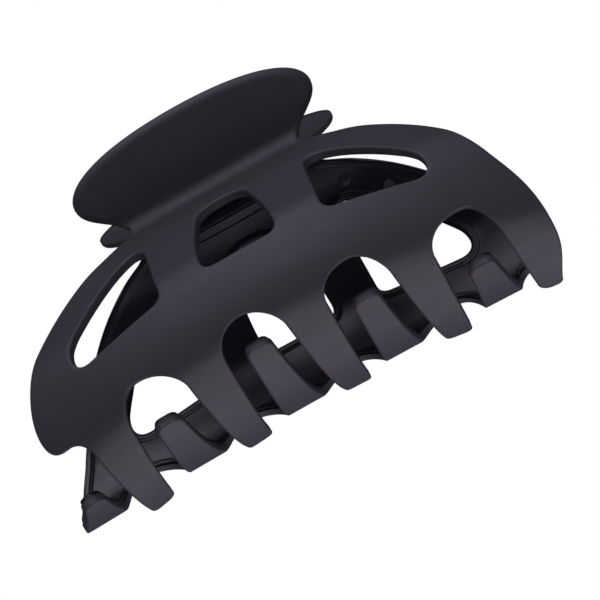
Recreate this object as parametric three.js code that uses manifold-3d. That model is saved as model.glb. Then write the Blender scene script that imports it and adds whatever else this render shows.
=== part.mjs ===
// Claw clip: two identical moulded jaws, hinged on a steel pin and closed by a torsion spring.
//
// Each jaw is one bent sheet of plastic: a thumb paddle that leans outward, a fold at the hinge,
// a half-moon shell with three windows, and five long teeth that curl under to the other side.
// The second jaw is the first one turned half a turn about the vertical, so the teeth interleave.
//
// Frame: millimetres, +Z up, +X along the clip, the front jaw on the -Y side. The clip is closed
// and stands on the tips of its end teeth, with the origin on the ground at its middle.
//
// A jaw is drawn flat, as a pattern in x (along the clip) and s (down the sheet from the fold,
// negative on the paddle), and is then bent along its section.

import * as THREE from 'three';
import * as BufferGeometryUtils from 'three/addons/utils/BufferGeometryUtils.js';
import ManifoldModule from 'manifold-3d';

// ---- driving dimensions: the jaw's section (degrees and millimetres) ----
const wall = 2.0;
const neckGap = 5.8; // between the two jaws' inner faces at the fold
const paddleHeight = 16.7; // up the paddle from the fold
const paddleLean = 38; // from the vertical
const foldRadius = 3.0; // outside the fold
const eaveLength = 1.85; // straight and flattest part of the shell, just below the fold
const eaveAngle = 50; // from the vertical
const eaveRadius = 25.0; // from the eave to the slope
const slopeLength = 15.3; // straight part of the shell beside the windows
const slopeAngle = 35.6; // from the vertical
const shoulderRadius = 14.0; // outer radius from the slope to the widest line
const skirtRadius = 21.8; // from the widest line to the gaps between the teeth
const skirtTurn = 25;
const heelRadius = 8.0; // at the tooth roots
const heelTurn = 37;
const toothRadius = 41.0; // curl of the teeth
const bowRadius = 208; // the shell's curve along the clip, seen from above
const endDrop = 0.0016; // the teeth hang lower towards the ends, by this times x squared
const dropLength = 19; // below the widest line, until they hang that much

// ---- driving dimensions: the flat pattern ----
const halfLength = 53.9; // centre to the outer edge of the end tooth
const lobeInset = 2.6; // the toothless end is this much shorter
const paddleWidth = 52.8;
const neckWidth = 37;
const shoulderDepth = 36.5; // from the fold to where the arch meets the end
const shoulderInset = 3.9; // of the arch's lower end from the outer edge
const toothCount = 5;
const toothRootWidth = 8.6;
const toothTipWidth = 5.6;
const toothSlant = 0.6; // tip sideways from root
const toothOffset = 0.25; // of a tooth's spacing, from the middle of the clip to the middle tooth
const endEase = 0.3; // the end tooth's outer edge at its root, inside the outer edge
const gapLean = 1.07; // a gap's top sits this much further out than its middle
const endTipInset = 1.65; // of the end tooth's tip, from the other teeth's line
const endTipNarrowing = 0.7;
const endTipInnerCut = 1.3; // the end tooth is shorter by this at its inner corner
const endTipOuterCut = 2.8; // and by this at its outer corner
const endTipRounds = [2.65, 1.55]; // how far the rounding of those two corners reaches
const toothLength = 43.35; // down the sheet from the gap tops, on the centre line
const toothShortening = 0.064; // towards the ends, by this times a power of x
const shorteningPower = 1.4;
const tipRadius = 1.9;
const gapTop = 43.2; // from the fold to the top of the gaps
const gapRound = 7.2; // height of the round top of a gap
const middleWindowTop = 9.4;
const windowBottom = 31.1;
const middleWindowWidth = 16.0;
const middleWindowTopWidth = 11.2;
const postWidth = 9.6; // between the middle and side windows
const sideWindowTop = 11.6;
const sideWindowBottom = 35.1; // at its outer corner
const sideWindowInset = 15.3; // of its outer corner from the outer edge
const windowRadius = 2.6;

// ---- driving dimensions: the hinge ----
const pinRadius = 1.2;
const pinHeadRadius = 2.0;
const pinHeadLength = 0.9;
const partGap = 0.3; // between pieces that touch
const knuckleWall = 1.3;
const knuckleLength = 3.6;
const knuckleGap = 0.5; // between neighbouring knuckles
const knuckleSeat = 1.2; // how far a knuckle's foot runs into the wall
const wireRadius = 0.45;
const coilTurns = 8;
const wireGap = 0.35; // between neighbouring turns
const legLength = 11;

// ---- what follows from them ----
const radians = THREE.MathUtils.degToRad;
const boreRadius = pinRadius + partGap;
const knuckleRadius = boreRadius + knuckleWall;
const coilPitch = 2 * wireRadius + wireGap;
const coilRadius = knuckleRadius + partGap - wireRadius; // to the middle of the wire
const paddleClearance = coilRadius + wireRadius + partGap; // axis to the paddle's inner face
const wireSpan = (coilTurns + 1.5) * coilPitch; // between the two legs
const springSpan = wireSpan + 2 * wireRadius + 2 * partGap;
const toothLast = (toothCount - 1) / 2;
const toothPitch = (halfLength - toothRootWidth / 2 - endEase) / (toothLast + toothOffset);
const blendLength = 6; // below the fold, until the shell is fully bowed
const bendStep = 11; // degrees of bend between two bend lines
const bowSteps = 8; // patches along the clip
const sameCorner = 1e-4; // corners closer together than this are one corner
const seamTolerance = 1e-3; // open edges closer together than this are joined

// ---- the section: stretches down the sheet, each a length and a turn towards the inside ----
const foldTurn = paddleLean + eaveAngle;
const bend = (radius, turn) => ({ length: radius * radians(turn), turn: -turn });
const fold = { length: foldRadius * radians(foldTurn), turn: foldTurn };
const stretches = [
  { length: paddleHeight - fold.length / 2, turn: 0 },
  fold,
  { length: eaveLength, turn: 0 },
  bend(eaveRadius, eaveAngle - slopeAngle),
  { length: slopeLength, turn: 0 },
  bend(shoulderRadius, slopeAngle),
  bend(skirtRadius, skirtTurn),
  bend(heelRadius, heelTurn),
  bend(toothRadius, 90),
];

// Walks down the section from the top of the paddle. y is outward, z up, heading from straight down.
function walkSection(distance) {
  let y = 0;
  let z = 0;
  let heading = -radians(paddleLean);
  let left = distance;
  for (const stretch of stretches) {
    const length = Math.min(left, stretch.length);
    const turn = radians(stretch.turn) * (length / stretch.length);
    // the chord of an arc: its middle heading, and a length just short of the arc's
    const chord = turn === 0 ? length : length * Math.sin(turn / 2) / (turn / 2);
    y += chord * Math.sin(heading + turn / 2);
    z -= chord * Math.cos(heading + turn / 2);
    heading += turn;
    left -= length;
    if (left <= 0) break;
  }
  return { y, z, heading };
}

const foldMiddle = paddleHeight;
const foldPoint = walkSection(foldMiddle);
const lengthOf = (count) => stretches.slice(0, count).reduce((sum, stretch) => sum + stretch.length, 0);
const skirtStart = lengthOf(6) - foldMiddle;
const ramp = (value, span) => THREE.MathUtils.smoothstep(value, 0, span);

// A point on the outer face of the front jaw, with the fold's inner face on the centre plane's side.
function outerPoint(x, s) {
  const section = walkSection(Math.max(0, foldMiddle + s));
  const bow = x * x / (2 * bowRadius) * ramp(s, blendLength);
  const drop = endDrop * x * x * ramp(s - skirtStart, dropLength);
  const outward = section.y - foldPoint.y + neckGap / 2 + wall - bow;
  return new THREE.Vector3(x, -outward, section.z - foldPoint.z - drop);
}

function outerNormal(x, s) {
  const step = 0.01;
  const along = outerPoint(x + step, s).sub(outerPoint(x - step, s));
  const up = outerPoint(x, s - step).sub(outerPoint(x, s + step));
  return along.cross(up).normalize();
}

// A point in the wall, at a depth below the outer face.
const wallPoint = (x, s, depth) => outerPoint(x, s).addScaledVector(outerNormal(x, s), -depth);

// The hinge axis lies above the fold, between the paddles, clear of both inner faces.
const innerFold = wallPoint(0, -fold.length, wall);
const lean = radians(paddleLean);
const axisHeight = innerFold.z + (paddleClearance + innerFold.y * Math.cos(lean)) / Math.sin(lean);

// ---- the flat pattern: x along the clip, and up the sheet (that is, -s) ----
function jawShape() {
  const shape = new THREE.Shape();
  const neck = neckWidth / 2;
  const half = paddleWidth / 2;
  const widest = paddleHeight * 0.5;
  const shoulder = halfLength - shoulderInset;
  const lobe = halfLength - lobeInset;
  const rootDepth = gapTop + gapRound;

  // up the right side of the paddle, over its top and down the left side
  shape.moveTo(neck + 0.7, 0.8);
  shape.bezierCurveTo(neck + 4, 3.6, half, 5, half, widest);
  shape.bezierCurveTo(half, paddleHeight * 0.79, half * 0.64, paddleHeight, 0, paddleHeight);
  shape.bezierCurveTo(-half * 0.64, paddleHeight, -half, paddleHeight * 0.79, -half, widest);
  shape.bezierCurveTo(-half, 5, -neck - 4, 3.6, -neck - 0.7, 0.8);
  shape.quadraticCurveTo(-neck + 0.3, -0.2, -neck - 0.9, -1.1);

  // down the arch to the toothless end, round its lobe
  const archTo = (side, from, to) => {
    const upper = [side * (neck + 10.5), -6.6];
    const lower = [side * (shoulder - 8.5), -shoulderDepth + 21];
    const handles = from === 'top' ? [...upper, ...lower] : [...lower, ...upper];
    shape.bezierCurveTo(...handles, ...to);
  };
  archTo(-1, 'top', [-shoulder, -shoulderDepth]);
  const middleOf = (index) => toothPitch * (index + toothOffset);
  const rootEdge = (index, side) => middleOf(index) - toothSlant / 2 + side * toothRootWidth / 2;
  const lobeBottom = gapTop + 2;
  shape.bezierCurveTo(-shoulder - 1.9, -shoulderDepth - 4.6, -lobe - 0.4, -lobeBottom, -lobe + 4, -lobeBottom);
  const firstEdge = rootEdge(-toothLast, -1);
  shape.bezierCurveTo(-lobe + 6.6, -lobeBottom, firstEdge, -lobeBottom - 1.6, firstEdge, -rootDepth);

  // the teeth from the lobe to the far end, with a round-topped gap after each
  for (let index = -toothLast; index <= toothLast; index += 1) {
    const middle = middleOf(index);
    const tip = gapTop + toothLength - toothShortening * Math.abs(middle) ** shorteningPower;
    const isEnd = index === toothLast;
    const leftTip = tip - (isEnd ? endTipInnerCut : 0);
    const rightTip = tip - (isEnd ? endTipOuterCut : 0);
    const tipMiddle = middle + toothSlant / 2 - (isEnd ? endTipInset : 0);
    const tipHalf = (toothTipWidth - (isEnd ? endTipNarrowing : 0)) / 2;
    const [leftRound, rightRound] = isEnd ? endTipRounds : [tipRadius, tipRadius];
    const leftCorner = new THREE.Vector2(tipMiddle - tipHalf, -leftTip);
    const rightCorner = new THREE.Vector2(tipMiddle + tipHalf, -rightTip);
    const across = rightCorner.clone().sub(leftCorner).normalize();
    const leftEnd = leftCorner.clone().addScaledVector(across, leftRound);
    const rightStart = rightCorner.clone().addScaledVector(across, -rightRound);
    shape.lineTo(leftCorner.x, leftCorner.y + leftRound);
    shape.quadraticCurveTo(leftCorner.x, leftCorner.y, leftEnd.x, leftEnd.y);
    shape.lineTo(rightStart.x, rightStart.y);
    shape.quadraticCurveTo(rightCorner.x, rightCorner.y, rightCorner.x, rightCorner.y + rightRound);
    if (isEnd) {
      const bulge = [rightCorner.x + 1.4, rightCorner.y + 9, halfLength, -rootDepth - 7];
      shape.bezierCurveTo(...bulge, halfLength, -gapTop - 5);
      shape.bezierCurveTo(halfLength, -gapTop, shoulder + 2, -shoulderDepth - 4.2, shoulder, -shoulderDepth);
      continue;
    }
    const left = rootEdge(index, 1);
    const right = rootEdge(index + 1, -1);
    const apex = (left + right) / 2 * gapLean;
    shape.lineTo(left, -rootDepth);
    shape.bezierCurveTo(left, -gapTop - 2.2, apex - (apex - left) * 0.5, -gapTop, apex, -gapTop);
    shape.bezierCurveTo(apex + (right - apex) * 0.45, -gapTop, right, -gapTop - 3, right, -rootDepth);
  }

  // back up the arch to the neck
  archTo(1, 'bottom', [neck + 0.9, -1.1]);
  shape.quadraticCurveTo(neck - 0.3, -0.2, neck + 0.7, 0.8);
  shape.holes.push(middleWindow(), sideWindow(1), sideWindow(-1));
  return shape;
}

function middleWindow() {
  const half = middleWindowWidth / 2;
  const topHalf = middleWindowTopWidth / 2;
  const top = middleWindowTop;
  const bottom = windowBottom;
  const path = new THREE.Path();
  path.moveTo(-half + windowRadius, -bottom);
  path.lineTo(half - windowRadius, -bottom);
  path.quadraticCurveTo(half, -bottom, half, -bottom + windowRadius);
  path.bezierCurveTo(half - 0.1, -bottom + 11, topHalf + 1, -top - 7.5, topHalf, -top - 2.8);
  path.bezierCurveTo(topHalf - 0.9, -top - 0.7, topHalf * 0.45, -top, 0, -top);
  path.bezierCurveTo(-topHalf * 0.45, -top, -topHalf + 0.9, -top - 0.7, -topHalf, -top - 2.8);
  path.bezierCurveTo(-topHalf - 1, -top - 7.5, -half + 0.1, -bottom + 11, -half, -bottom + windowRadius);
  path.quadraticCurveTo(-half, -bottom, -half + windowRadius, -bottom);
  return path;
}

function sideWindow(side) {
  const inner = middleWindowWidth / 2 + postWidth;
  const outer = halfLength - sideWindowInset;
  const top = sideWindowTop;
  const bottom = sideWindowBottom;
  const innerBottom = windowBottom + 0.9;
  const path = new THREE.Path();
  const at = (x, depth) => [side * x, -depth];
  path.moveTo(...at(inner, top + windowRadius));
  path.quadraticCurveTo(...at(inner, top), ...at(inner + windowRadius, top));
  path.bezierCurveTo(...at(inner + 7.7, top + 1.1), ...at(outer - 4.6, bottom - 12), ...at(outer - 0.8, bottom - 5.2));
  path.bezierCurveTo(...at(outer + 0.5, bottom - 2), ...at(outer, bottom + 0.8), ...at(outer - 3.8, bottom));
  path.lineTo(...at(inner + windowRadius, innerBottom + 0.4));
  path.quadraticCurveTo(...at(inner, innerBottom), ...at(inner, innerBottom - windowRadius));
  path.lineTo(...at(inner, top + windowRadius));
  return path;
}

// ---- solids ----
const wasm = await ManifoldModule();
wasm.setup();

function toSolid(geometry) {
  const bare = geometry.clone();
  bare.deleteAttribute('normal');
  bare.deleteAttribute('uv');
  const merged = BufferGeometryUtils.mergeVertices(bare, sameCorner);
  const mesh = new wasm.Mesh({
    numProp: 3,
    vertProperties: new Float32Array(merged.attributes.position.array),
    triVerts: new Uint32Array(merged.index.array),
    tolerance: seamTolerance,
  });
  mesh.merge();
  return new wasm.Manifold(mesh);
}

function toGeometry(solid) {
  const mesh = solid.getMesh();
  const geometry = new THREE.BufferGeometry();
  geometry.setAttribute('position', new THREE.BufferAttribute(mesh.vertProperties, 3));
  geometry.setIndex(new THREE.BufferAttribute(mesh.triVerts, 1));
  return geometry;
}

function trianglesOf(geometry) {
  const position = (geometry.index ? geometry.toNonIndexed() : geometry).attributes.position;
  const triangles = [];
  for (let i = 0; i < position.count; i += 3) {
    triangles.push([0, 1, 2].map((k) => new THREE.Vector3().fromBufferAttribute(position, i + k)));
  }
  return triangles;
}

// The lines across the sheet where it bends, from the top down: closer where the bend is tight.
function bendLines() {
  const lines = [];
  let start = -foldMiddle;
  for (const stretch of stretches) {
    const reach = Math.min(stretch.length, gapTop + toothLength - start);
    const turned = Math.abs(stretch.turn) * (reach / stretch.length);
    const count = Math.max(1, Math.ceil(turned / bendStep));
    for (let i = 0; i < count; i += 1) lines.push(start + reach * i / count);
    start += stretch.length;
  }
  lines.push(fold.length / 2 + blendLength * 0.5, fold.length / 2 + blendLength);
  return lines.slice(1).sort((a, b) => a - b);
}

// The flat plate in patches, without the walls between them, so that each edge between two patches
// can become a bend line.
function patchTriangles(plate) {
  const far = 3 * halfLength;
  const rows = [far, ...bendLines().map((s) => -s), -far];
  const columns = [-far];
  const patchWidth = 2 * halfLength / bowSteps;
  for (let i = 0.5 - bowSteps / 2; i < bowSteps / 2; i += 1) columns.push(i * patchWidth + 0.17);
  columns.push(far);
  const triangles = [];
  for (let row = 0; row + 1 < rows.length; row += 1) {
    const band = plate.intersect(block(-far, far, rows[row + 1], rows[row]));
    for (let column = 0; column + 1 < columns.length; column += 1) {
      const [left, right] = [columns[column], columns[column + 1]];
      const patch = band.intersect(block(left, right, -far, far));
      const seams = [[0, left], [0, right], [1, rows[row]], [1, rows[row + 1]]];
      const onSeam = (triangle) => seams.some(([component, value]) => (
        triangle.every((point) => Math.abs(point.getComponent(component) - value) < sameCorner)));
      triangles.push(...trianglesOf(toGeometry(patch)).filter((triangle) => !onSeam(triangle)));
    }
  }
  const corners = cornersOf(triangles);
  return triangles.flatMap((triangle) => splitAtCorners(triangle, corners));
}

// Every different corner once, by its rounded place.
function cornersOf(triangles) {
  const corners = new Map();
  for (const point of triangles.flat()) {
    corners.set(point.toArray().map((value) => value.toFixed(3)).join(), point);
  }
  return [...corners.values()];
}

// Splits a triangle wherever a corner of a neighbour lies along one of its edges.
function splitAtCorners(triangle, corners) {
  for (let i = 0; i < 3; i += 1) {
    const [a, b, c] = [triangle[i], triangle[(i + 1) % 3], triangle[(i + 2) % 3]];
    const edge = new THREE.Line3(a, b);
    const margin = seamTolerance / edge.distance();
    const between = corners.find((corner) => {
      const share = edge.closestPointToPointParameter(corner, false);
      if (share < margin || share > 1 - margin) return false;
      return edge.at(share, new THREE.Vector3()).distanceTo(corner) < sameCorner;
    });
    if (!between) continue;
    return [[a, between, c], [between, b, c]].flatMap((half) => splitAtCorners(half, corners));
  }
  return [triangle];
}

function block(left, right, bottom, top) {
  const box = new THREE.BoxGeometry(right - left, top - bottom, 4 * wall);
  return toSolid(box.translate((left + right) / 2, (bottom + top) / 2, 0));
}

function bentSheet() {
  const plate = new THREE.ExtrudeGeometry(jawShape(), { depth: wall, bevelEnabled: false, curveSegments: 5 });
  const corners = patchTriangles(toSolid(plate)).flat();
  const patched = new THREE.BufferGeometry().setFromPoints(corners);
  const sheet = toGeometry(toSolid(patched));
  const position = sheet.attributes.position;
  for (let i = 0; i < position.count; i += 1) {
    const flat = new THREE.Vector3().fromBufferAttribute(position, i);
    position.setXYZ(i, ...wallPoint(flat.x, -flat.y, wall - flat.z));
  }
  return sheet;
}

function rodAlongX(radius, length, sides) {
  return new THREE.CylinderGeometry(radius, radius, length, sides).rotateZ(Math.PI / 2);
}

const onAxis = (geometry, x) => geometry.translate(x, 0, axisHeight);

// A knuckle: a barrel round the pin, on a foot that runs into the paddle's inner face.
function knuckle(x) {
  const footLength = paddleClearance + knuckleSeat;
  const foot = new THREE.BoxGeometry(knuckleLength, footLength, 2 * knuckleRadius);
  foot.translate(0, -footLength / 2, 0).rotateX(lean);
  const barrel = rodAlongX(knuckleRadius, knuckleLength, 24);
  return toSolid(onAxis(foot, x)).add(toSolid(onAxis(barrel, x)));
}

const innerKnuckle = springSpan / 2 + knuckleLength / 2;
const outerKnuckle = innerKnuckle + knuckleLength + knuckleGap;

function jawGeometry() {
  const bore = toSolid(onAxis(rodAlongX(boreRadius, neckWidth * 2, 24), 0));
  const knuckles = knuckle(innerKnuckle).add(knuckle(-outerKnuckle));
  return toGeometry(toSolid(bentSheet()).add(knuckles).subtract(bore));
}

function pinGeometry() {
  const half = outerKnuckle + knuckleLength / 2 + partGap;
  const end = half + pinHeadLength;
  const profile = [
    new THREE.Vector2(0, -end),
    new THREE.Vector2(pinHeadRadius, -end),
    new THREE.Vector2(pinHeadRadius, -half),
    new THREE.Vector2(pinRadius, -half),
    new THREE.Vector2(pinRadius, half),
    new THREE.Vector2(pinHeadRadius, half),
    new THREE.Vector2(pinHeadRadius, end),
    new THREE.Vector2(0, end),
  ];
  return onAxis(new THREE.LatheGeometry(profile, 24).rotateZ(Math.PI / 2), 0);
}

// The spring's wire: turns round the pin, then a straight leg up the front paddle's inner face.
class SpringWire extends THREE.Curve {
  constructor(turns, start) {
    super();
    this.turns = turns;
    this.start = start;
    this.coiled = 2 * Math.PI * coilRadius * turns;
  }

  getPoint(t, target = new THREE.Vector3()) {
    const distance = t * (this.coiled + legLength);
    const turned = Math.min(distance, this.coiled) / coilRadius;
    const straight = Math.max(0, distance - this.coiled);
    // the last turn ends where the wire is nearest to the paddle, so the leg is its tangent
    const angle = turned - 2 * Math.PI * this.turns;
    const out = coilRadius * Math.cos(angle);
    const up = coilRadius * Math.sin(angle) + straight;
    const x = this.start + coilPitch * turned / (2 * Math.PI);
    const y = -out * Math.cos(lean) - up * Math.sin(lean);
    const z = -out * Math.sin(lean) + up * Math.cos(lean);
    return target.set(x, y, z + axisHeight);
  }
}

function wireGeometry(turns, start) {
  const section = new THREE.Shape().absarc(0, 0, wireRadius, 0, 2 * Math.PI);
  const extrudePath = new SpringWire(turns, start);
  const steps = Math.ceil((turns + legLength / (2 * Math.PI * coilRadius)) * 14);
  return new THREE.ExtrudeGeometry(section, { steps, extrudePath, bevelEnabled: false, curveSegments: 8 });
}

// ---- materials ----
const plastic = { color: 0x3d3b40, roughness: 0.62, metalness: 0 };
const steel = { color: 0xb4b6ba, roughness: 0.3, metalness: 1 };

function mesh(name, geometry, finish) {
  const item = new THREE.Mesh(geometry, new THREE.MeshStandardMaterial(finish));
  item.name = name;
  return item;
}

// ---- the clip ----
const jaw = jawGeometry();
const frontJaw = mesh('front_jaw', jaw, plastic);
const rearJaw = mesh('rear_jaw', jaw.clone(), plastic);
rearJaw.rotation.z = Math.PI;
const hingePin = mesh('hinge_pin', pinGeometry(), steel);

// The wire lies in two pieces, each on the jaw that it presses open: the coil with the rear leg,
// and the last half turn with the front leg, one turn further along the pin.
const wireEnd = wireSpan / 2;
const spring = mesh('torsion_spring', wireGeometry(coilTurns, wireEnd - coilTurns * coilPitch), steel);
spring.rotation.z = Math.PI;
const frontLeg = mesh('spring_front_leg', wireGeometry(0.5, wireEnd - 0.5 * coilPitch), steel);

const clip = new THREE.Group();
clip.add(frontJaw, rearJaw, hingePin, spring, frontLeg);
jaw.computeBoundingBox();
clip.position.z = -jaw.boundingBox.min.z;

export default clip;
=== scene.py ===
"""A matte black claw clip: two moulded jaws that turn on a steel pin, held shut by a torsion spring.

Each jaw is drawn flat, as the toolmaker draws it, with its raised rim, steps and grooves, and the
flat plate is then bent along the jaw's section. Drawings are in millimetres; finished pieces are in
metres. +Z is up, +X runs along the clip, and the front jaw is on the -Y side.
"""

import math
from functools import lru_cache

import bmesh
import bpy
from mathutils import Matrix, Vector
from mathutils.geometry import interpolate_bezier


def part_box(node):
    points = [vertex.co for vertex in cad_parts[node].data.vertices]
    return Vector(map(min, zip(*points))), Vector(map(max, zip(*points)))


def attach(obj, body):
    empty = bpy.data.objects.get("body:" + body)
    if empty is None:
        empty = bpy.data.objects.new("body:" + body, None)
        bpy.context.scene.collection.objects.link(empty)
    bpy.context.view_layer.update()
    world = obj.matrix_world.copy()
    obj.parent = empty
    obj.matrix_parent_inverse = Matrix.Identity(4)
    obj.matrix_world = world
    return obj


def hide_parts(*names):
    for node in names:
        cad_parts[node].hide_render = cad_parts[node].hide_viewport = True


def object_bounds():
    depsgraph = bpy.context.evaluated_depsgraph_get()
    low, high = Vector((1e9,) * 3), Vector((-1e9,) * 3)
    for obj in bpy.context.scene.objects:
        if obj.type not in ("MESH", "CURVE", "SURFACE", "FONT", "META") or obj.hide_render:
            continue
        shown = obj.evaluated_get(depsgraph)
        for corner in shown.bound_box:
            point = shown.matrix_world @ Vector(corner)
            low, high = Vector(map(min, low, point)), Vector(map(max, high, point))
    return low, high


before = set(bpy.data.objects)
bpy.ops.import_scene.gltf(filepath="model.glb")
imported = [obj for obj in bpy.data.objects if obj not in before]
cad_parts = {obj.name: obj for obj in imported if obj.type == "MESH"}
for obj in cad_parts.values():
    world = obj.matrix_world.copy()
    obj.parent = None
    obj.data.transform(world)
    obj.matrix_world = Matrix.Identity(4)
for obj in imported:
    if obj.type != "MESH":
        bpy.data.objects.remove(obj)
cad_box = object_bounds()

MM = 0.001
radians = math.radians

# ---- the jaw's section, down the sheet from the top of the paddle ----
WALL = 2.0
NECK_GAP = 5.8          # between the two jaws' inner faces at the fold
PADDLE_HEIGHT = 16.7    # up the paddle from the fold
PADDLE_LEAN = 38        # degrees from the vertical
FOLD_RADIUS = 3.0
EAVE_LENGTH = 1.85
EAVE_ANGLE = 50         # degrees from the vertical
EAVE_RADIUS = 25.0
SLOPE_LENGTH = 15.3
SLOPE_ANGLE = 35.6
SHOULDER_RADIUS = 14.0
SKIRT_RADIUS = 21.8
SKIRT_TURN = 25
HEEL_RADIUS = 8.0
HEEL_TURN = 37
TOOTH_RADIUS = 41.0
BOW_RADIUS = 208        # the shell's curve along the clip
BOW_BLEND = 6           # below the fold, until the shell is fully bowed
END_DROP = 0.0016       # the teeth hang lower towards the ends, by this times x squared
DROP_LENGTH = 19        # below the widest line, until they hang that much

# ---- the flat drawing: x along the clip, s down the sheet from the fold ----
HALF_LENGTH = 53.9
LOBE_INSET = 2.6
PADDLE_WIDTH = 52.8
NECK_WIDTH = 37
SHOULDER_DEPTH = 36.5
SHOULDER_INSET = 3.9
TOOTH_COUNT = 5
TOOTH_ROOT_WIDTH = 8.6
TOOTH_TIP_WIDTH = 5.6
TOOTH_SLANT = 0.6
TOOTH_OFFSET = 0.25     # of a tooth's spacing, from the middle of the clip to the middle tooth
END_EASE = 0.3          # the end tooth's outer edge at its root, inside the outer edge
GAP_LEAN = 1.07         # a gap's top sits this much further out than its middle
END_TIP_INSET = 1.65
END_TIP_NARROWING = 0.7
TOOTH_LENGTH = 43.35
TOOTH_SHORTENING = 0.064
SHORTENING_POWER = 1.4
END_TIP_CUT = (1.3, 2.8)  # the end tooth is shorter by this at its inner and outer corners
END_TIP_ROUNDS = (2.65, 1.55)  # how far the rounding of those two corners reaches
TIP_RADIUS = 1.9
GAP_TOP = 43.2
GAP_ROUND = 7.2
MIDDLE_WINDOW_TOP = 9.4
WINDOW_BOTTOM = 31.1
MIDDLE_WINDOW_WIDTH = 16.0
MIDDLE_WINDOW_TOP_WIDTH = 11.2
POST_WIDTH = 9.6
SIDE_WINDOW_TOP = 11.6
SIDE_WINDOW_BOTTOM = 35.1
SIDE_WINDOW_INSET = 15.3
WINDOW_RADIUS = 2.6

# ---- the moulding's edges and inner relief ----
EDGE_RADIUS = 0.45      # outer edges
PADDLE_ROLL = 0.8       # how far the paddle's outer face falls away at its edge
ROLL_WIDTH = 1.7
LEDGE_LEVEL = 0.15      # of the small ledge between the wall and the inner rim, above the inner face
RIM_WIDTH = 1.85
# the inner rim, stepped down to the inner face: (inset from the edge, rise above the ledge's foot)
RIM_PROFILE = [
    (0, 0), (0.1, 0.12), (0.3, 0.15), (0.36, 0.82), (0.42, 0.98), (0.56, 1.08), (0.72, 1.1),
    (1.02, 1.1), (1.1, 1.06), (1.16, 0.94), (1.2, 0.72), (1.28, 0.66), (1.5, 0.64), (1.6, 0.6),
    (1.66, 0.48), (1.7, 0.26), (1.76, 0.17), (RIM_WIDTH, 0.15),
]
SHELL_RIM = 0.45        # share of the rim's height that is left above the teeth
PADDLE_RIM = 0.12       # and on the paddle
SHELL_THINNING = 0.44   # of the web inside the rim, above the teeth
GROOVES = (1.95, 3.85)  # two straight grooves across the inner face, this far below the fold
GROOVE_WIDTH = 0.5
GROOVE_DEPTH = 0.4
GROOVE_REACH = 15.5     # to each side of the middle
CREASE = 47.5           # witness line of the mould across the tooth roots
CREASE_HEIGHT = 0.006
# ejector marks on the inner face: x, s, radius, height
EJECTOR_MARKS = [(-22.6, 7.9, 1.45, 0.5), (-29.7, 13.9, 1.8, 0.2)]

# ---- the hinge ----
PIN_RADIUS = 1.2
PIN_HEAD_RADIUS = 2.0
PIN_HEAD_LENGTH = 0.9
PART_GAP = 0.3
KNUCKLE_WALL = 1.3
KNUCKLE_LENGTH = 3.6
KNUCKLE_GAP = 0.5
KNUCKLE_SEAT = 1.2
WIRE_RADIUS = 0.45
COIL_TURNS = 8
WIRE_GAP = 0.35
LEG_LENGTH = 11

# ---- how finely the pieces are made ----
OUTLINE_STEP = 1.1
OUTLINE_TURN = radians(11)
ROW_STEP = 1.2
ROW_TURN = radians(7)
COLUMN_STEP = 1.6
COLUMN_SHIFT = 0.13     # keeps the columns off the drawing's own corners
TURN_STEPS = 40         # of the spring, in each turn
SHARP_EDGE = 40         # degrees; shaded smooth across anything flatter
FACET_ALLOWANCE = 0.12  # keeps the true curves inside the CAD's facets

KNUCKLE_RADIUS = PIN_RADIUS + PART_GAP + KNUCKLE_WALL
COIL_PITCH = 2 * WIRE_RADIUS + WIRE_GAP
COIL_RADIUS = KNUCKLE_RADIUS + PART_GAP - WIRE_RADIUS
PADDLE_CLEARANCE = COIL_RADIUS + WIRE_RADIUS + PART_GAP
WIRE_SPAN = (COIL_TURNS + 1.5) * COIL_PITCH
INNER_KNUCKLE = WIRE_SPAN / 2 + WIRE_RADIUS + PART_GAP + KNUCKLE_LENGTH / 2
OUTER_KNUCKLE = INNER_KNUCKLE + KNUCKLE_LENGTH + KNUCKLE_GAP
pin_low, pin_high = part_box("hinge_pin")
AXIS_HEIGHT = (pin_low.z + pin_high.z) / 2 / MM
HALF_TURN = Matrix.Rotation(math.pi, 4, "Z")


# ---- the bent sheet ----
def bend(radius, degrees):
    return radius * radians(degrees), -radians(degrees)


FOLD_TURN = radians(PADDLE_LEAN + EAVE_ANGLE)
STRETCHES = [  # length, turn
    (PADDLE_HEIGHT - FOLD_RADIUS * FOLD_TURN / 2, 0),
    (FOLD_RADIUS * FOLD_TURN, FOLD_TURN),
    (EAVE_LENGTH, 0),
    bend(EAVE_RADIUS, EAVE_ANGLE - SLOPE_ANGLE),
    (SLOPE_LENGTH, 0),
    bend(SHOULDER_RADIUS, SLOPE_ANGLE),
    bend(SKIRT_RADIUS, SKIRT_TURN),
    bend(HEEL_RADIUS, HEEL_TURN),
    bend(TOOTH_RADIUS, 90),
]


@lru_cache(maxsize=None)
def walk_section(distance):
    """How far outward and up the sheet has come, this far down from the top of the paddle."""
    out = up = 0.0
    heading = -radians(PADDLE_LEAN)
    left = distance
    for length, turn in STRETCHES:
        part = min(left, length)
        turned = turn * part / length
        chord = part if turned == 0 else part * math.sin(turned / 2) / (turned / 2)
        out += chord * math.sin(heading + turned / 2)
        up -= chord * math.cos(heading + turned / 2)
        heading += turned
        left -= part
        if left <= 0:
            break
    return out, up


FOLD_PLACE = walk_section(PADDLE_HEIGHT)
SKIRT_START = sum(length for length, _ in STRETCHES[:6]) - PADDLE_HEIGHT


def ramp(value, start, end):
    """0 before start, 1 after end, and a smooth rise between them."""
    share = min(1.0, max(0.0, (value - start) / (end - start)))
    return share * share * (3 - 2 * share)


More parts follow.
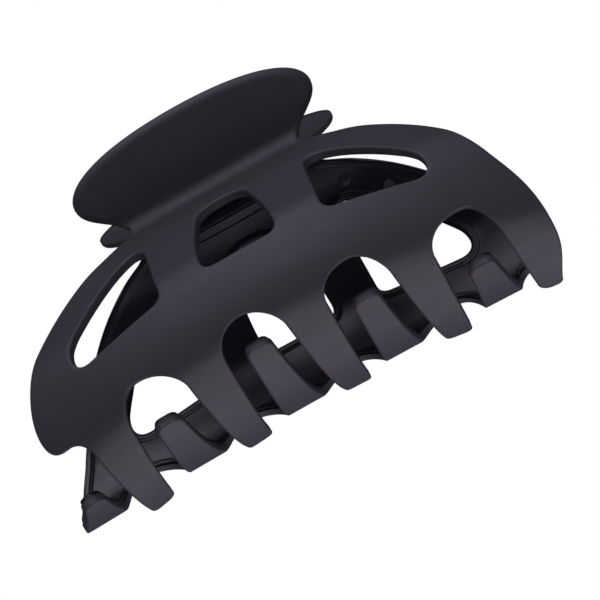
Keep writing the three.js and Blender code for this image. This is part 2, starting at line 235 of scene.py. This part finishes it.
def outer_point(x, s):
    out, up = walk_section(max(0.0, PADDLE_HEIGHT + s))
    bow = x * x / (2 * BOW_RADIUS) * ramp(s, 0, BOW_BLEND)
    drop = END_DROP * x * x * ramp(s, SKIRT_START, SKIRT_START + DROP_LENGTH)
    return Vector((x, FOLD_PLACE[0] - out - NECK_GAP / 2 - WALL + bow, up - FOLD_PLACE[1] - drop))


def wall_point(x, s, depth):
    """A point in the wall of the front jaw, at a depth below its outer face."""
    step = 0.01
    along = outer_point(x + step, s) - outer_point(x - step, s)
    upward = outer_point(x, s - step) - outer_point(x, s + step)
    return outer_point(x, s) - along.cross(upward).normalized() * depth


LEAN = radians(PADDLE_LEAN)
inner_fold = wall_point(0, -FOLD_RADIUS * FOLD_TURN, WALL)
axis_above_fold = inner_fold.z + (PADDLE_CLEARANCE + inner_fold.y * math.cos(LEAN)) / math.sin(LEAN)
LIFT = AXIS_HEIGHT - axis_above_fold


# ---- drawing ----
class Outline:
    """A closed outline on paper, drawn from point to point in straight lines and Bezier curves."""

    def __init__(self, x, y):
        self.points = [Vector((x, y, 0))]

    def line(self, x, y):
        start, end = self.points[-1], Vector((x, y, 0))
        steps = math.ceil((end - start).length / OUTLINE_STEP)
        self.points += [start.lerp(end, i / steps) for i in range(1, steps + 1)]

    def curve(self, *numbers):
        """The numbers are x and y of each handle, one or two of them, and of the end."""
        start = self.points[-1]
        *handles, end = [Vector((x, y, 0)) for x, y in zip(numbers[::2], numbers[1::2])]
        if len(handles) == 1:
            handles = [start.lerp(handles[0], 2 / 3), end.lerp(handles[0], 2 / 3)]
        corners = [start, *handles, end]
        legs = [b - a for a, b in zip(corners, corners[1:]) if (b - a).length > 1e-6]
        turn = sum(a.angle(b) for a, b in zip(legs, legs[1:]))
        length = sum(leg.length for leg in legs)
        steps = max(2, math.ceil(length / OUTLINE_STEP), math.ceil(turn / OUTLINE_TURN))
        self.points += interpolate_bezier(start, *handles, end, steps + 1)[1:]

    def rounded(self, corner_x, corner_y, x, y):
        """A circle's arc inside a corner that lies equally far from the arc's two ends."""
        start, corner, end = self.points[-1], Vector((corner_x, corner_y, 0)), Vector((x, y, 0))
        turn = (corner - start).angle(end - corner)
        roundness = 4 / 3 * math.tan(turn / 4) / math.tan(turn / 2)
        one, two = start.lerp(corner, roundness), end.lerp(corner, roundness)
        self.curve(one.x, one.y, two.x, two.y, x, y)

    def mirrored(self):
        """The same outline on the other side of the clip's middle."""
        other = Outline(0, 0)
        other.points = [Vector((-p.x, p.y, 0)) for p in self.points]
        return other


def jaw_outline():
    neck, half = NECK_WIDTH / 2, PADDLE_WIDTH / 2
    widest = PADDLE_HEIGHT / 2
    shoulder, lobe = HALF_LENGTH - SHOULDER_INSET, HALF_LENGTH - LOBE_INSET
    root = GAP_TOP + GAP_ROUND
    lobe_bottom = GAP_TOP + 2
    last = (TOOTH_COUNT - 1) / 2
    pitch = (HALF_LENGTH - TOOTH_ROOT_WIDTH / 2 - END_EASE) / (last + TOOTH_OFFSET)

    def root_edge(index, side):
        return pitch * (index + TOOTH_OFFSET) - TOOTH_SLANT / 2 + side * TOOTH_ROOT_WIDTH / 2

    line = Outline(neck + 0.7, 0.8)
    # up the right of the paddle, over its top and down the left
    line.curve(neck + 4, 3.6, half, 5, half, widest)
    line.curve(half, PADDLE_HEIGHT * 0.79, half * 0.64, PADDLE_HEIGHT, 0, PADDLE_HEIGHT)
    line.curve(-half * 0.64, PADDLE_HEIGHT, -half, PADDLE_HEIGHT * 0.79, -half, widest)
    line.curve(-half, 5, -neck - 4, 3.6, -neck - 0.7, 0.8)
    line.curve(-neck + 0.3, -0.2, -neck - 0.9, -1.1)
    # down the arch and round the lobe at the toothless end
    line.curve(-neck - 10.5, -6.6, -shoulder + 8.5, 21 - SHOULDER_DEPTH, -shoulder, -SHOULDER_DEPTH)
    line.curve(-shoulder - 1.9, -SHOULDER_DEPTH - 4.6, -lobe - 0.4, -lobe_bottom, -lobe + 4, -lobe_bottom)
    first = root_edge(-last, -1)
    line.curve(-lobe + 6.6, -lobe_bottom, first, -lobe_bottom - 1.6, first, -root)
    # the teeth, with a round-topped gap after each
    for number in range(TOOTH_COUNT):
        index = number - last
        middle = pitch * (index + TOOTH_OFFSET)
        tip = GAP_TOP + TOOTH_LENGTH - TOOTH_SHORTENING * abs(middle) ** SHORTENING_POWER
        is_end = index == last
        left_tip, right_tip = (tip - cut if is_end else tip for cut in END_TIP_CUT)
        tip_middle = middle + TOOTH_SLANT / 2 - (END_TIP_INSET if is_end else 0)
        tip_width = TOOTH_TIP_WIDTH - (END_TIP_NARROWING if is_end else 0)
        left, right = tip_middle - tip_width / 2, tip_middle + tip_width / 2
        across = Vector((tip_width, left_tip - right_tip, 0)).normalized()
        left_round, right_round = END_TIP_ROUNDS if is_end else (TIP_RADIUS, TIP_RADIUS)
        line.line(left, -left_tip + left_round)
        line.rounded(left, -left_tip, left + across.x * left_round, -left_tip + across.y * left_round)
        line.line(right - across.x * right_round, -right_tip - across.y * right_round)
        line.rounded(right, -right_tip, right, -right_tip + right_round)
        if is_end:
            line.curve(right + 1.4, -right_tip + 9, HALF_LENGTH, -root - 7, HALF_LENGTH, -GAP_TOP - 5)
            line.curve(HALF_LENGTH, -GAP_TOP, shoulder + 2, -SHOULDER_DEPTH - 4.2,
                       shoulder, -SHOULDER_DEPTH)
            continue
        left, right = root_edge(index, 1), root_edge(index + 1, -1)
        apex = (left + right) / 2 * GAP_LEAN
        line.line(left, -root)
        line.curve(left, -GAP_TOP - 2.2, (apex + left) / 2, -GAP_TOP, apex, -GAP_TOP)
        line.curve(apex + (right - apex) * 0.45, -GAP_TOP, right, -GAP_TOP - 3, right, -root)
    # back up the arch to the neck
    line.curve(shoulder - 8.5, 21 - SHOULDER_DEPTH, neck + 10.5, -6.6, neck + 0.9, -1.1)
    line.curve(neck - 0.3, -0.2, neck + 0.7, 0.8)
    return line


def middle_window():
    half, top_half = MIDDLE_WINDOW_WIDTH / 2, MIDDLE_WINDOW_TOP_WIDTH / 2
    top, bottom = -MIDDLE_WINDOW_TOP, -WINDOW_BOTTOM
    line = Outline(-half + WINDOW_RADIUS, bottom)
    line.line(half - WINDOW_RADIUS, bottom)
    line.curve(half, bottom, half, bottom + WINDOW_RADIUS)
    line.curve(half - 0.1, bottom + 11, top_half + 1, top - 7.5, top_half, top - 2.8)
    line.curve(top_half - 0.9, top - 0.7, top_half * 0.45, top, 0, top)
    line.curve(-top_half * 0.45, top, -top_half + 0.9, top - 0.7, -top_half, top - 2.8)
    line.curve(-top_half - 1, top - 7.5, -half + 0.1, bottom + 11, -half, bottom + WINDOW_RADIUS)
    line.curve(-half, bottom, -half + WINDOW_RADIUS, bottom)
    return line


def side_window():
    inner = MIDDLE_WINDOW_WIDTH / 2 + POST_WIDTH
    outer = HALF_LENGTH - SIDE_WINDOW_INSET
    top, bottom = -SIDE_WINDOW_TOP, -SIDE_WINDOW_BOTTOM
    inner_bottom = -WINDOW_BOTTOM - 0.9
    line = Outline(inner, top - WINDOW_RADIUS)
    line.curve(inner, top, inner + WINDOW_RADIUS, top)
    line.curve(inner + 7.7, top - 1.1, outer - 4.6, bottom + 12, outer - 0.8, bottom + 5.2)
    line.curve(outer + 0.5, bottom + 2, outer, bottom - 0.8, outer - 3.8, bottom)
    line.line(inner + WINDOW_RADIUS, inner_bottom - 0.4)
    line.curve(inner, inner_bottom, inner, inner_bottom + WINDOW_RADIUS)
    line.line(inner, top - WINDOW_RADIUS)
    return line


def filled(outlines):
    """A flat sheet with the first outline's shape and the others as holes."""
    bm = bmesh.new()
    for outline in outlines:
        ring = [bm.verts.new(point) for point in outline.points[:-1]]
        for here, after in zip(ring, ring[1:] + ring[:1]):
            bm.edges.new((here, after))
    bmesh.ops.triangle_fill(bm, edges=bm.edges[:], use_beauty=True, normal=(0, 0, 1))
    return bm


def thickened(bm, height):
    """Raises a flat sheet into a plate that stands on it."""
    for face in bm.faces:
        if face.normal.z > 0:
            face.normal_flip()
    raised = bmesh.ops.extrude_face_region(bm, geom=bm.faces[:], use_keep_orig=True)["geom"]
    tops = [item for item in raised if isinstance(item, bmesh.types.BMVert)]
    bmesh.ops.translate(bm, verts=tops, vec=(0, 0, height))
    bmesh.ops.recalc_face_normals(bm, faces=bm.faces[:])
    bm.normal_update()


def follow(bm, faces, profile, margin):
    """Steps a region's border in along a profile of (inset, rise), and notes each step's inset."""
    for (inset, rise), (next_inset, next_rise) in zip(profile, profile[1:]):
        bmesh.ops.inset_region(
            bm, faces=faces, thickness=next_inset - inset, depth=next_rise - rise,
            use_boundary=True, use_even_offset=True)
        for vert in {vert for face in faces for vert in face.verts}:
            vert[margin] = next_inset


def rounded_profile(radius, steps, *flat):
    """A quarter round, then the given insets along the flat."""
    angles = [math.pi / 2 * i / steps for i in range(steps + 1)]
    quarter = [(radius * (1 - math.cos(angle)), radius * math.sin(angle)) for angle in angles]
    return quarter + [(inset, radius) for inset in flat]


def cut_across(bm, faces_of, places, normal):
    """Cuts the chosen faces along straight lines, so that they can bend there."""
    for place in places:
        faces = faces_of()
        edges = {edge for face in faces for edge in face.edges}
        verts = {vert for face in faces for vert in face.verts}
        bmesh.ops.bisect_plane(
            bm, geom=[*verts, *edges, *faces], dist=0.004, plane_co=Vector(normal) * place, plane_no=normal)


def bend_rows():
    """Distances below the fold at which the plate is cut, closer together where it bends more."""
    fine = [CREASE + offset for offset in (-0.2, -0.08, 0.08, 0.2)]
    for groove in GROOVES:
        fine += [groove + offset * GROOVE_WIDTH for offset in (-0.5, -0.25, 0.25, 0.5)]
    rows = []
    start = -PADDLE_HEIGHT
    for length, turn in STRETCHES:
        reach = min(length, GAP_TOP + TOOTH_LENGTH - start)
        turned = abs(turn) * reach / length
        count = max(math.ceil(reach / ROW_STEP), math.ceil(turned / ROW_TURN))
        rows += [start + reach * i / count for i in range(count)]
        start += length
    clear = [row for row in rows[1:] if min(abs(row - place) for place in fine) > 0.25]
    return sorted(clear + fine)


def ejector_mark(bm, x, s, radius, height):
    """A low round boss that an ejector pin leaves: a flattened ball, half in the wall."""
    made = bmesh.ops.create_uvsphere(bm, u_segments=32, v_segments=16, radius=1)["verts"]
    bmesh.ops.scale(bm, verts=made, vec=(radius, radius, height))
    bmesh.ops.translate(bm, verts=made, vec=(x, -s, 0))


def relief(x, s, level, margin):
    """The level of a point of the flat plate once the paddle's roll, rim and grooves are in."""
    on_paddle = 1 - ramp(s, -4.5, -1.2)
    if level > LEDGE_LEVEL:
        roll = PADDLE_ROLL * max(0.0, 1 - margin / ROLL_WIDTH) ** 2
        crease = CREASE_HEIGHT if abs(s - CREASE) < 0.1 else 0
        return level - on_paddle * roll * ramp(level, LEDGE_LEVEL, WALL - EDGE_RADIUS) + crease
    on_shell = 1 - ramp(s, GAP_TOP - 3, GAP_TOP + GAP_ROUND)
    rim_share = SHELL_RIM + on_paddle * (PADDLE_RIM - SHELL_RIM)
    level = level * (1 - on_shell * (1 - rim_share)) + on_shell * SHELL_THINNING
    in_groove = any(abs(s - groove) < GROOVE_WIDTH * 0.3 for groove in GROOVES)
    if in_groove and margin > RIM_WIDTH - 0.01 and abs(x) < GROOVE_REACH:
        return level + GROOVE_DEPTH * (1 - ramp(abs(x), GROOVE_REACH - 3, GROOVE_REACH))
    return level


def flat_jaw():
    """The jaw's plate before it is bent: inner face at level 0, outer face at the wall's thickness."""
    window = side_window()
    bm = filled([jaw_outline(), middle_window(), window, window.mirrored()])
    margin = bm.verts.layers.float.new("margin")
    region = bm.faces.layers.int.new("region")
    fill = bm.edges.layers.int.new("fill")
    bmesh.ops.translate(bm, verts=bm.verts[:], vec=(0, 0, LEDGE_LEVEL))
    thickened(bm, WALL - EDGE_RADIUS - LEDGE_LEVEL)
    inner = [face for face in bm.faces if face.normal.z < -0.5]
    outer = [face for face in bm.faces if face.normal.z > 0.5]
    follow(bm, inner, RIM_PROFILE, margin)
    follow(bm, outer, rounded_profile(EDGE_RADIUS, 4, 0.8, 1.25, ROLL_WIDTH), margin)
    for face in inner + outer:
        face[region] = 1
    faces = set(inner + outer)
    for edge in {edge for face in faces for edge in face.edges}:
        edge[fill] = int(all(side in faces for side in edge.link_faces))
    cut_across(bm, lambda: [f for f in bm.faces if f[region]], [-row for row in bend_rows()], (0, 1, 0))
    count = math.ceil(HALF_LENGTH / COLUMN_STEP)
    columns = [i * COLUMN_STEP + COLUMN_SHIFT for i in range(-count, count + 1)]
    cut_across(bm, lambda: [f for f in bm.faces if f[region]], columns, (1, 0, 0))
    bmesh.ops.dissolve_edges(bm, edges=[edge for edge in bm.edges if edge[fill]], use_verts=False)
    return bm, margin


def bent_jaw():
    """The front jaw's shell, bent, with its edge distance and its inner side as point attributes."""
    bm, margin = flat_jaw()
    inside = bm.verts.layers.float.new("inside")
    for x, s, radius, height in EJECTOR_MARKS:
        ejector_mark(bm, x, s, radius, height)
    for vert in bm.verts:
        # The inner face: glossier in the material, and painted darker there as painted shade between the
        # jaws.
        polished_and_shaded = 1 - ramp(vert.co.z, LEDGE_LEVEL - 0.1, LEDGE_LEVEL + 0.02)
        vert[inside] = polished_and_shaded * ramp(-vert.co.y, -1, 1)
        level = relief(vert.co.x, -vert.co.y, vert.co.z, vert[margin])
        vert.co = wall_point(vert.co.x, -vert.co.y, WALL - level + FACET_ALLOWANCE * ramp(level, 0, WALL))
    bmesh.ops.translate(bm, verts=bm.verts[:], vec=(0, 0, LIFT))
    return bm


# ---- finishing a mesh ----
def finish_piece(name, bm, material, body, replaced=(), turned=False):
    """Makes a mesh a finished piece: in metres, shaded smooth, on its body and in its finish."""
    if turned:
        bmesh.ops.transform(bm, matrix=HALF_TURN, verts=bm.verts[:])
    bmesh.ops.scale(bm, verts=bm.verts[:], vec=(MM, MM, MM))
    bmesh.ops.recalc_face_normals(bm, faces=bm.faces[:])
    for face in bm.faces:
        face.smooth = True
    mesh = bpy.data.meshes.new(name)
    bm.to_mesh(mesh)
    mesh.set_sharp_from_angle(angle=radians(SHARP_EDGE))
    piece = bpy.data.objects.new(name, mesh)
    bpy.context.scene.collection.objects.link(piece)
    mesh.materials.append(material)
    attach(piece, body)
    if replaced:
        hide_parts(*replaced)
    return piece


# ---- the hinge ----
def knuckle(bm, x):
    """A barrel round the pin on a foot that runs into the paddle: its side view, raised along the pin."""
    radius, bore = KNUCKLE_RADIUS, PIN_RADIUS + PART_GAP
    foot = PADDLE_CLEARANCE + KNUCKLE_SEAT
    side = Outline(foot, -radius - 0.5)
    side.line(foot, radius + 0.5)
    side.curve(foot - KNUCKLE_SEAT, radius + 0.5, foot - KNUCKLE_SEAT - 0.4, radius, foot - 2.4, radius)
    side.line(0, radius)
    side.rounded(-radius, radius, -radius, 0)
    side.rounded(-radius, -radius, 0, -radius)
    side.line(foot - 2.4, -radius)
    side.curve(foot - KNUCKLE_SEAT - 0.4, -radius, foot - KNUCKLE_SEAT, -radius - 0.5, foot, -radius - 0.5)
    hole = Outline(bore, 0)
    hole.rounded(bore, bore, 0, bore)
    hole.rounded(-bore, bore, -bore, 0)
    hole.rounded(-bore, -bore, 0, -bore)
    hole.rounded(bore, -bore, bore, 0)
    made = filled([side, hole])
    thickened(made, KNUCKLE_LENGTH)
    rims = [edge for edge in made.edges
            if edge.calc_face_angle(0) > 1.2 and abs(edge.verts[0].co.z - edge.verts[1].co.z) < 0.01]
    bmesh.ops.bevel(made, geom=rims, offset=0.22, offset_type="OFFSET", segments=3, profile=0.5,
                    affect="EDGES", clamp_overlap=True, material=-1)
    # drawn u towards the paddle, v up it, and raised along the pin
    towards = (0, -math.cos(LEAN), -math.sin(LEAN))
    upward = (0, -math.sin(LEAN), math.cos(LEAN))
    place = Matrix((towards, upward, (1, 0, 0))).transposed().to_4x4()
    centre = Matrix.Translation((x - KNUCKLE_LENGTH / 2, 0, AXIS_HEIGHT))
    bmesh.ops.transform(made, matrix=centre @ place, verts=made.verts[:])
    mesh = bpy.data.meshes.new("knuckle")
    made.to_mesh(mesh)
    made.free()
    bm.from_mesh(mesh)
    bpy.data.meshes.remove(mesh)


def knuckles():
    bm = bmesh.new()
    knuckle(bm, INNER_KNUCKLE)
    knuckle(bm, -OUTER_KNUCKLE)
    return bm


def turned_pin():
    """A headed pin: its profile spun round the hinge axis."""
    half = OUTER_KNUCKLE + KNUCKLE_LENGTH / 2 + PART_GAP
    end = half + PIN_HEAD_LENGTH
    crown = 0.35
    profile = [(end, 0.0), (end, PIN_HEAD_RADIUS - crown - 0.25)]
    for i in range(1, 6):
        angle = math.pi / 2 * i / 5
        radius = PIN_HEAD_RADIUS - crown + crown * math.sin(angle)
        profile.append((end - crown * (1 - math.cos(angle)), radius))
    profile += [(half + 0.1, PIN_HEAD_RADIUS), (half, PIN_HEAD_RADIUS - 0.1), (half, PIN_RADIUS + 0.05)]
    profile += [(half - 0.1, PIN_RADIUS)]
    profile += [(-x, radius) for x, radius in reversed(profile)]
    bm = bmesh.new()
    line = [bm.verts.new((x, 0, radius)) for x, radius in profile]
    edges = [bm.edges.new(pair) for pair in zip(line, line[1:])]
    bmesh.ops.spin(bm, geom=line + edges, cent=(0, 0, 0), axis=(1, 0, 0), angle=2 * math.pi, steps=48,
                   use_merge=True, use_duplicate=False)
    bmesh.ops.remove_doubles(bm, verts=bm.verts[:], dist=1e-4)
    bmesh.ops.translate(bm, verts=bm.verts[:], vec=(0, 0, AXIS_HEIGHT))
    return bm


def open_edges(bm):
    return [edge for edge in bm.edges if edge.is_boundary]


def drawn_on(bm, edges, way, shrink=1.0):
    """Draws an open end of the wire out along its way, and returns the new end."""
    made = bmesh.ops.extrude_edge_only(bm, edges=edges)["geom"]
    verts = [item for item in made if isinstance(item, bmesh.types.BMVert)]
    bmesh.ops.translate(bm, verts=verts, vec=way)
    middle = sum((vert.co for vert in verts), Vector()) / len(verts)
    bmesh.ops.scale(bm, verts=verts, vec=(shrink, shrink, shrink), space=Matrix.Translation(-middle))
    return [item for item in made if isinstance(item, bmesh.types.BMEdge)]


def spring_wire(turns, start):
    """Turns of wire round the pin from start to the front paddle, then a leg up the paddle."""
    out = Vector((0, -math.cos(LEAN), -math.sin(LEAN)))  # from the axis to where the leg leaves the coil
    upward = Vector((0, -math.sin(LEAN), math.cos(LEAN)))
    leaving = Vector((start + turns * COIL_PITCH, 0, AXIS_HEIGHT)) + out * COIL_RADIUS
    bm = bmesh.new()
    ring = bmesh.ops.create_circle(bm, cap_ends=False, segments=14, radius=WIRE_RADIUS)["verts"]
    facing = Matrix(((1, 0, 0), out, upward)).transposed().to_4x4()
    bmesh.ops.transform(bm, matrix=Matrix.Translation(leaving) @ facing, verts=ring)
    section = bm.edges[:]
    end = section
    for length in [LEG_LENGTH / 4] * 4:
        end = drawn_on(bm, end, upward * length)
    for length, shrink in ((0.1, 0.93), (0.1, 0.8), (0.05, 0.55)):
        end = drawn_on(bm, end, upward * length, shrink)
    bmesh.ops.spin(
        bm, geom=section + ring, cent=(0, 0, AXIS_HEIGHT), axis=(1, 0, 0),
        dvec=(-COIL_PITCH / TURN_STEPS, 0, 0), angle=2 * math.pi * turns,
        steps=round(turns * TURN_STEPS), use_merge=False, use_duplicate=False)
    bmesh.ops.holes_fill(bm, edges=open_edges(bm), sides=0)
    return bm


# ---- materials ----
def new_material(name):
    material = bpy.data.materials.new(name)
    material.use_nodes = True
    return material, material.node_tree, material.node_tree.nodes["Principled BSDF"]


def math_node(tree, operation, first, second=None, third=None, clamp=False):
    node = tree.nodes.new("ShaderNodeMath")
    node.operation, node.use_clamp = operation, clamp
    for socket, value in zip(node.inputs, (first, second, third)):
        if value is None:
            continue
        if isinstance(value, (int, float)):
            socket.default_value = value
        else:
            tree.links.new(value, socket)
    return node.outputs[0]


def mixed_colour(tree, factor, first, second):
    node = tree.nodes.new("ShaderNodeMix")
    node.data_type = "RGBA"
    tree.links.new(factor, node.inputs["Factor"])
    for socket, value in ((node.inputs["A"], first), (node.inputs["B"], second)):
        if isinstance(value, tuple):
            socket.default_value = (*value, 1)
        else:
            tree.links.new(value, socket)
    return node.outputs["Result"]


def noise(tree, vector, scale, detail=2.0, roughness=0.5):
    node = tree.nodes.new("ShaderNodeTexNoise")
    node.inputs["Scale"].default_value = scale
    node.inputs["Detail"].default_value = detail
    node.inputs["Roughness"].default_value = roughness
    tree.links.new(vector, node.inputs["Vector"])
    return node.outputs["Fac"]


def surface_group():
    """Grain, clouding and handling marks over any of the clip's surfaces, as masks from 0 to 1."""
    group = bpy.data.node_groups.new("surface_marks", "ShaderNodeTree")
    for name, kind in (("Vector", "NodeSocketVector"), ("Grain Scale", "NodeSocketFloat")):
        group.interface.new_socket(name, in_out="INPUT", socket_type=kind)
    for name in ("Grain", "Clouding", "Smears"):
        group.interface.new_socket(name, in_out="OUTPUT", socket_type="NodeSocketFloat")
    entry, leave = group.nodes.new("NodeGroupInput"), group.nodes.new("NodeGroupOutput")
    vector = entry.outputs["Vector"]
    fine = group.nodes.new("ShaderNodeTexNoise")
    fine.inputs["Detail"].default_value = 3
    group.links.new(vector, fine.inputs["Vector"])
    group.links.new(entry.outputs["Grain Scale"], fine.inputs["Scale"])
    stretched = group.nodes.new("ShaderNodeMapping")
    stretched.inputs["Scale"].default_value = (0.25, 1, 1)
    group.links.new(vector, stretched.inputs["Vector"])
    smears = noise(group, stretched.outputs["Vector"], 420, 4, 0.6)
    group.links.new(fine.outputs["Fac"], leave.inputs["Grain"])
    group.links.new(noise(group, vector, 55, 3), leave.inputs["Clouding"])
    group.links.new(math_node(group, "MULTIPLY_ADD", smears, 2.2, -0.6, clamp=True), leave.inputs["Smears"])
    return group


def marks(tree, group, grain_scale):
    node = tree.nodes.new("ShaderNodeGroup")
    node.node_tree = group
    place = tree.nodes.new("ShaderNodeTexCoord")
    tree.links.new(place.outputs["Object"], node.inputs["Vector"])
    node.inputs["Grain Scale"].default_value = grain_scale
    return node.outputs


def bumped(tree, shader, height, distance, strength=1.0):
    bump = tree.nodes.new("ShaderNodeBump")
    bump.inputs["Distance"].default_value = distance
    bump.inputs["Strength"].default_value = strength
    tree.links.new(height, bump.inputs["Height"])
    tree.links.new(bump.outputs["Normal"], shader.inputs["Normal"])


def attribute(tree, name):
    node = tree.nodes.new("ShaderNodeAttribute")
    node.attribute_name = name
    return node.outputs["Fac"]


def matte_plastic(group):
    """Soft-touch matte outside, glossier where the mould was left with a polish on the inside; the inside's
    colour is painted much darker, as painted shade between the jaws.
    """
    material, tree, shader = new_material("matte_plastic")
    look = marks(tree, group, 4200)
    inside, margin = attribute(tree, "inside"), attribute(tree, "margin")
    cloudy = mixed_colour(tree, look["Clouding"], (0.036, 0.0325, 0.0365), (0.047, 0.0435, 0.048))
    grained = mixed_colour(tree, look["Grain"], cloudy, (0.04, 0.037, 0.041))
    # Lighter outer edges: partly rubbed wear, partly a painted highlight along the rounded edges.
    edge_wear_and_highlight = math_node(tree, "SUBTRACT", 1, math_node(tree, "MULTIPLY", margin, 2.2), clamp=True)
    wear_and_highlight_mask = math_node(tree, "MULTIPLY", edge_wear_and_highlight, math_node(tree, "SUBTRACT", 1, inside, clamp=True))
    worn_and_highlit = mixed_colour(tree, math_node(tree, "MULTIPLY", wear_and_highlight_mask, 0.5), grained, (0.075, 0.07, 0.076))
    # The inner faces take a far darker colour: painted shade between the jaws, on top of their glossier
    # finish.
    tree.links.new(mixed_colour(tree, inside, worn_and_highlit, (0.01, 0.01, 0.0125)), shader.inputs["Base Color"])
    outside_rough = math_node(tree, "ADD", 0.5, math_node(tree, "MULTIPLY", look["Smears"], 0.07))
    inside_rough = math_node(tree, "ADD", 0.3, math_node(tree, "MULTIPLY", look["Smears"], 0.04))
    blend = tree.nodes.new("ShaderNodeMix")
    for socket, value in ((0, inside), (2, outside_rough), (3, inside_rough)):
        tree.links.new(value, blend.inputs[socket])
    tree.links.new(blend.outputs[0], shader.inputs["Roughness"])
    shader.inputs["IOR"].default_value = 1.5
    bumped(tree, shader, look["Grain"], 0.00002)
    return material


def drawn_steel(group):
    """Bright drawn steel with fine lines along it and a few dull patches."""
    material, tree, shader = new_material("drawn_steel")
    look = marks(tree, group, 9000)
    cloudy = mixed_colour(tree, look["Clouding"], (0.42, 0.43, 0.45), (0.62, 0.62, 0.63))
    tree.links.new(cloudy, shader.inputs["Base Color"])
    shader.inputs["Metallic"].default_value = 1
    rough = math_node(tree, "ADD", 0.2, math_node(tree, "MULTIPLY", look["Smears"], 0.2))
    tree.links.new(rough, shader.inputs["Roughness"])
    bumped(tree, shader, look["Grain"], 0.000008)
    return material


def floor_paint():
    """Pale matt paint on the floor's upper side; from below, the floor can be seen through."""
    material, tree, shader = new_material("floor_paint")
    shader.inputs["Base Color"].default_value = (0.86, 0.86, 0.86, 1)
    shader.inputs["Roughness"].default_value = 0.8
    clear = tree.nodes.new("ShaderNodeBsdfTransparent")
    side = tree.nodes.new("ShaderNodeNewGeometry")
    either = tree.nodes.new("ShaderNodeMixShader")
    tree.links.new(side.outputs["Backfacing"], either.inputs["Fac"])
    tree.links.new(shader.outputs["BSDF"], either.inputs[1])
    tree.links.new(clear.outputs["BSDF"], either.inputs[2])
    tree.links.new(either.outputs["Shader"], tree.nodes["Material Output"].inputs["Surface"])
    return material


# ---- the clip ----
surface_marks = surface_group()
plastic = matte_plastic(surface_marks)
steel = drawn_steel(surface_marks)

jaw = bent_jaw()
for side, turned in (("front", False), ("rear", True)):
    finish_piece(f"{side}_shell", jaw.copy(), plastic, side, [f"{side}_jaw"], turned)
    finish_piece(f"{side}_knuckles", knuckles(), plastic, side, (), turned)
finish_piece("headed_pin", turned_pin(), steel, "rear", ["hinge_pin"])
wire_end = WIRE_SPAN / 2
finish_piece("spring_coil", spring_wire(COIL_TURNS, wire_end - COIL_TURNS * COIL_PITCH), steel,
             "rear", ["torsion_spring"], turned=True)
finish_piece("spring_leg", spring_wire(0.5, wire_end - 0.5 * COIL_PITCH), steel,
             "front", ["spring_front_leg"])


# ---- studio ----
def add_floor():
    bm = bmesh.new()
    bmesh.ops.create_grid(bm, x_segments=1, y_segments=1, size=3)
    mesh = bpy.data.meshes.new("floor")
    bm.to_mesh(mesh)
    floor = bpy.data.objects.new("floor", mesh)
    bpy.context.scene.collection.objects.link(floor)
    mesh.materials.append(floor_paint())
    floor.location.z = cad_box[0].z - 0.0002
    # the floor shows and takes shadows, but doesn't keep the lower lights from the clip
    floor.visible_shadow = floor.visible_diffuse = floor.visible_glossy = False


def aimed(place, target, up):
    """A matrix at place whose -Z looks at target, with its Y towards up."""
    back = (place - target).normalized()
    right = up.cross(back).normalized()
    turn = Matrix((right, back.cross(right), back)).transposed().to_4x4()
    return Matrix.Translation(place) @ turn


def softbox(name, direction, distance, width, height, watts, colour, centre):
    light = bpy.data.lights.new(name, "AREA")
    light.color = colour
    light.shape, light.size, light.size_y, light.energy = "RECTANGLE", width, height, watts
    lamp = bpy.data.objects.new(name, light)
    bpy.context.scene.collection.objects.link(lamp)
    place = centre + Vector(direction).normalized() * distance
    lamp.matrix_world = aimed(place, centre, Vector((1, 0, 0.01)))
    lamp.visible_camera = False


def white_room(ambient):
    """White to the camera, and a dim, cool, even light on the clip."""
    world = bpy.data.worlds.new("white_room")
    world.use_nodes = True
    tree = world.node_tree
    seen = tree.nodes.new("ShaderNodeLightPath").outputs["Is Camera Ray"]
    tree.links.new(mixed_colour(tree, seen, ambient, (1, 1, 1)), tree.nodes["Background"].inputs["Color"])
    bpy.context.scene.world = world


def add_camera():
    """Looks up at the clip from below its front, tilted so that its far end rises."""
    azimuth, elevation, tilt = radians(3.8), radians(-27.2), radians(27.5)
    distance, lens = 0.772, 239.5
    reach = math.cos(elevation)
    back = Vector((math.sin(azimuth) * reach, -math.cos(azimuth) * reach, math.sin(elevation)))
    level = Vector((math.cos(azimuth), math.sin(azimuth), 0))
    steep = back.cross(level)
    right = level * math.cos(tilt) - steep * math.sin(tilt)
    up = level * math.sin(tilt) + steep * math.cos(tilt)
    aim = Vector((0, 0, 0.0257)) + right * 0.00562 - up * 0.00176
    camera = bpy.data.objects.new("camera", bpy.data.cameras.new("camera"))
    camera.data.lens = lens
    camera.data.clip_start = 0.01
    bpy.context.scene.collection.objects.link(camera)
    camera.matrix_world = aimed(aim + back * distance, aim, up)
    bpy.context.scene.camera = camera


add_floor()
white_room((0.056, 0.074, 0.1))
middle = (cad_box[0] + cad_box[1]) / 2
softbox("below", (0.05, 0.2, -1), 0.5, 0.9, 0.4, 2.0, (0.93, 0.84, 1), middle)
softbox("above", (0, -0.85, 0.6), 0.6, 0.9, 0.35, 2.3, (0.87, 0.84, 1), middle)
softbox("left", (-1, -0.2, -0.2), 0.7, 0.3, 0.5, 0.1, (0.9, 0.88, 1), middle)
softbox("right", (1, -0.2, 0), 0.7, 0.3, 0.5, 0.2, (0.9, 0.88, 1), middle)
add_camera()
bpy.context.scene.view_settings.view_transform = "Standard"
